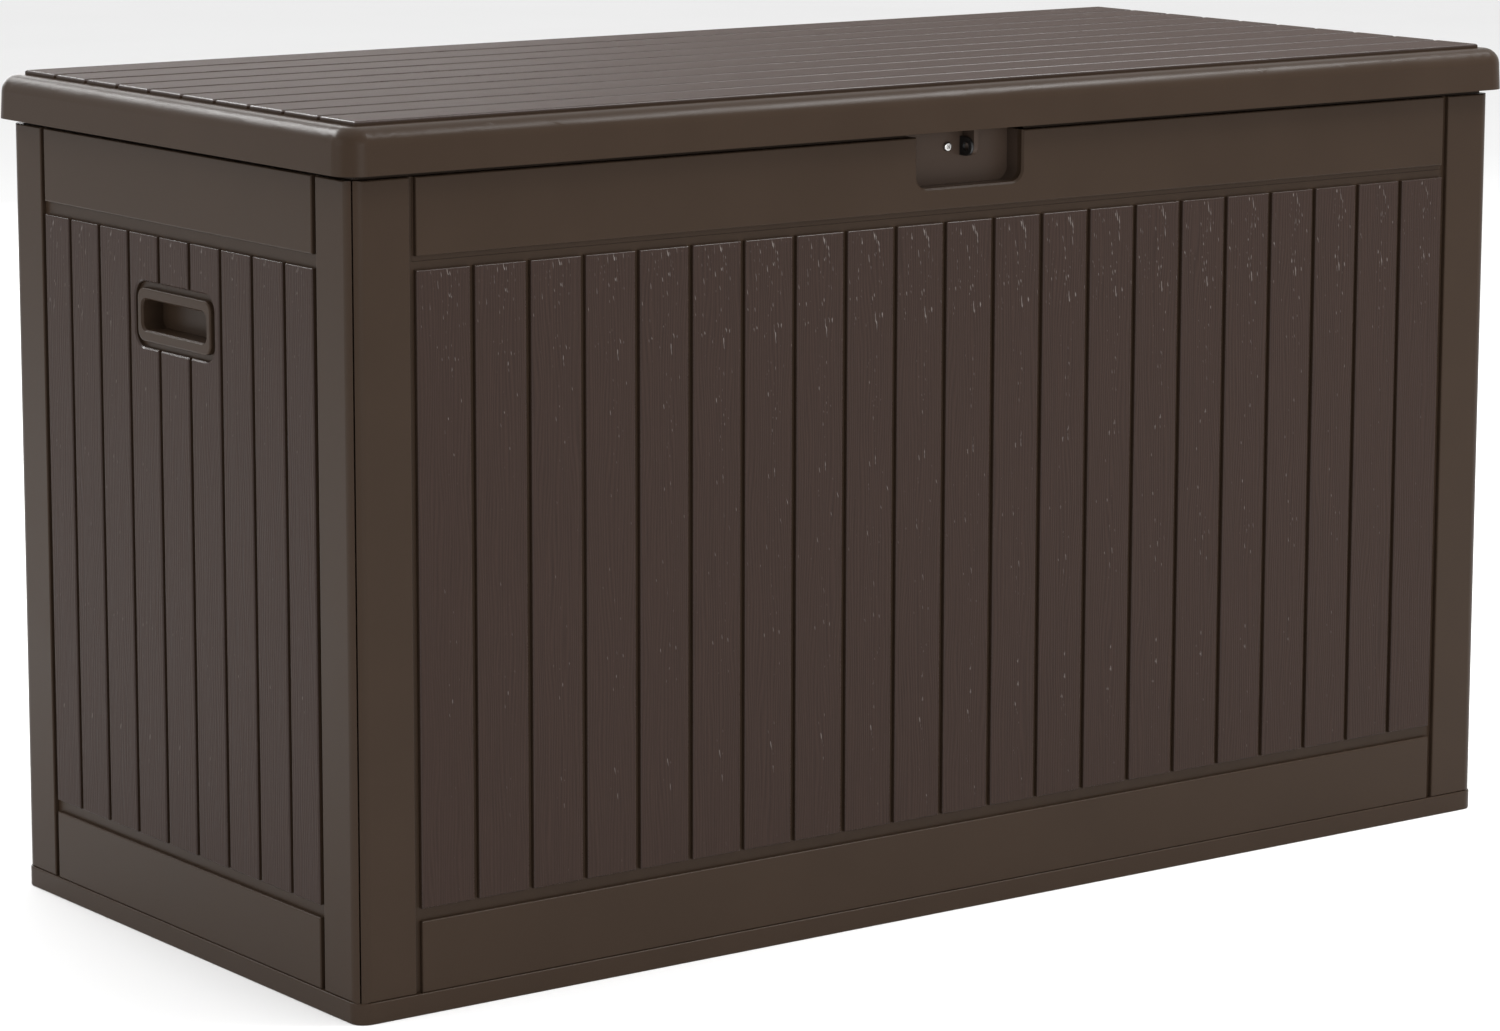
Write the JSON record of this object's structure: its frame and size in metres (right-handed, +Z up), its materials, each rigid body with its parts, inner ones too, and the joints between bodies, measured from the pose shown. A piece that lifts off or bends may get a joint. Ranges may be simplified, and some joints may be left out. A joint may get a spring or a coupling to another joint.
{
  "type": "deck storage box",
  "caption": "Large resin garden storage box with board-pattern walls, hinged overhanging lid on gas struts, recessed padlock eye and a let-in grab handle at each end.",
  "frame": {"origin": "centre of the footprint on the ground, under the middle of the closed box", "axes": "+X along the box to the right as seen from the front, +Y from the front to the back (the hinge side), +Z up"},
  "size_m": [1.49, 0.6855, 0.855],
  "materials": {
    "grained_resin": "satin dark brown resin, boards embossed with wood grain, frame smooth",
    "smooth_resin": "satin smooth dark brown resin",
    "black_steel": "black painted steel",
    "bright_screw": "bright plated",
    "zinc_screw": "zinc plated",
    "zinc_bracket": "zinc plated sheet",
    "polished_rod": "polished rod",
    "black_nylon": "moulded black nylon"
  },
  "bodies": {
    "box": {"base_floor": "grained_resin", "front_panel": "grained_resin", "front_top_rail": "grained_resin", "front_rail_screws": "zinc_screw", "back_panel": "grained_resin", "left_panel": "grained_resin", "right_panel": "grained_resin", "left_handle": "smooth_resin", "right_handle": "smooth_resin", "lock_pocket": "smooth_resin", "lock_pocket_screws": "zinc_screw", "box_lock_eye": "black_steel", "lock_eye_screw": "bright_screw", "corner_screws": "zinc_screw", "base_screws": "zinc_screw", "hinge_pins": "zinc_screw", "hinge_pin_clips": "zinc_screw", "wall_bracket_screws": "zinc_screw", "lower_strut_clips": "zinc_screw", "left_strut_wall_bracket": "zinc_bracket", "right_strut_wall_bracket": "zinc_bracket"},
    "lid": {"lid_shell": "grained_resin", "lid_lock_tongue": "smooth_resin", "lock_tongue_screws": "zinc_screw", "lid_bracket_screws": "zinc_screw", "upper_strut_clips": "zinc_screw", "left_strut_lid_bracket": "zinc_bracket", "right_strut_lid_bracket": "zinc_bracket"},
    "left_strut_body": {"left_strut_cylinder": "black_steel", "left_strut_rod_guide": "black_nylon", "left_strut_lower_eye": "black_nylon"},
    "left_strut_rod_body": {"left_strut_rod": "polished_rod", "left_strut_piston": "black_nylon", "left_strut_upper_eye": "black_nylon"},
    "right_strut_body": {"right_strut_cylinder": "black_steel", "right_strut_rod_guide": "black_nylon", "right_strut_lower_eye": "black_nylon"},
    "right_strut_rod_body": {"right_strut_rod": "polished_rod", "right_strut_piston": "black_nylon", "right_strut_upper_eye": "black_nylon"}
  },
  "joints": [
    {"name": "lid_hinge", "type": "hinge", "parent": "box", "child": "lid", "pos_m": [0, 0.336, 0.793], "axis": [-1, 0, 0], "range_deg": [0, 80]},
    {"name": "left_strut_lower_pivot", "type": "hinge", "parent": "box", "child": "left_strut_body", "pos_m": [-0.686, 0.2388, 0.58455], "axis": [-1, 0, 0], "range_deg": [0, 40]},
    {"name": "left_strut_upper_pivot", "type": "hinge", "parent": "lid", "child": "left_strut_rod_body", "pos_m": [-0.686, 0.10759, 0.82], "axis": [1, 0, 0], "range_deg": [0, 40]},
    {"name": "right_strut_lower_pivot", "type": "hinge", "parent": "box", "child": "right_strut_body", "pos_m": [0.686, 0.2388, 0.58455], "axis": [-1, 0, 0], "range_deg": [0, 40]},
    {"name": "right_strut_upper_pivot", "type": "hinge", "parent": "lid", "child": "right_strut_rod_body", "pos_m": [0.686, 0.10759, 0.82], "axis": [1, 0, 0], "range_deg": [0, 40]}
  ],
  "couplings": [
    {"joint": "left_strut_lower_pivot", "follows": "lid_hinge", "ratio": 0.5},
    {"joint": "left_strut_upper_pivot", "follows": "lid_hinge", "ratio": 0.5},
    {"joint": "right_strut_lower_pivot", "follows": "lid_hinge", "ratio": 0.5},
    {"joint": "right_strut_upper_pivot", "follows": "lid_hinge", "ratio": 0.5}
  ]
}
